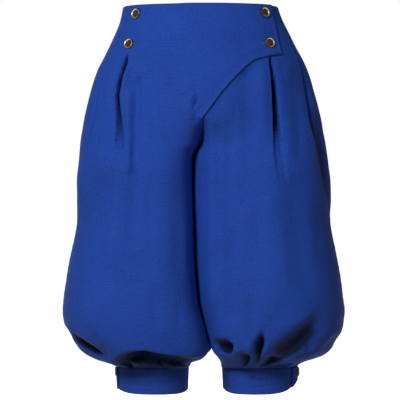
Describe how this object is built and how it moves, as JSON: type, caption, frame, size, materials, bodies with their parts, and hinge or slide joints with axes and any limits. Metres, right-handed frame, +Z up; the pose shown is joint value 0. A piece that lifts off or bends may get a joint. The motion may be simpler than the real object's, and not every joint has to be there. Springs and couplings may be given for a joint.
{
  "type": "trousers",
  "caption": "Knee-length full trousers with a wrap-over front flap, released tucks, gathered knees and buttoned cuffs.",
  "frame": {"origin": "middle of the waist opening, 20 mm below the waist edge, where the wearer's waist holds it", "axes": "+Z up the body, -Y to the wearer's front, +X to the wearer's left"},
  "size_m": [0.4655, 0.2718, 0.6378],
  "materials": {
    "cloth": "matt, fine woven",
    "button_brass": "antique, half polished"
  },
  "bodies": {
    "root": {"front_right": "cloth", "front_left": "cloth", "back_right": "cloth", "back_left": "cloth", "cuff_right": "cloth", "cuff_left": "cloth", "button_waist_right_top": "button_brass", "button_waist_right_low": "button_brass", "button_flap_top": "button_brass", "button_flap_low": "button_brass", "button_cuff_right": "button_brass", "button_cuff_left": "button_brass"}
  },
  "joints": []
}
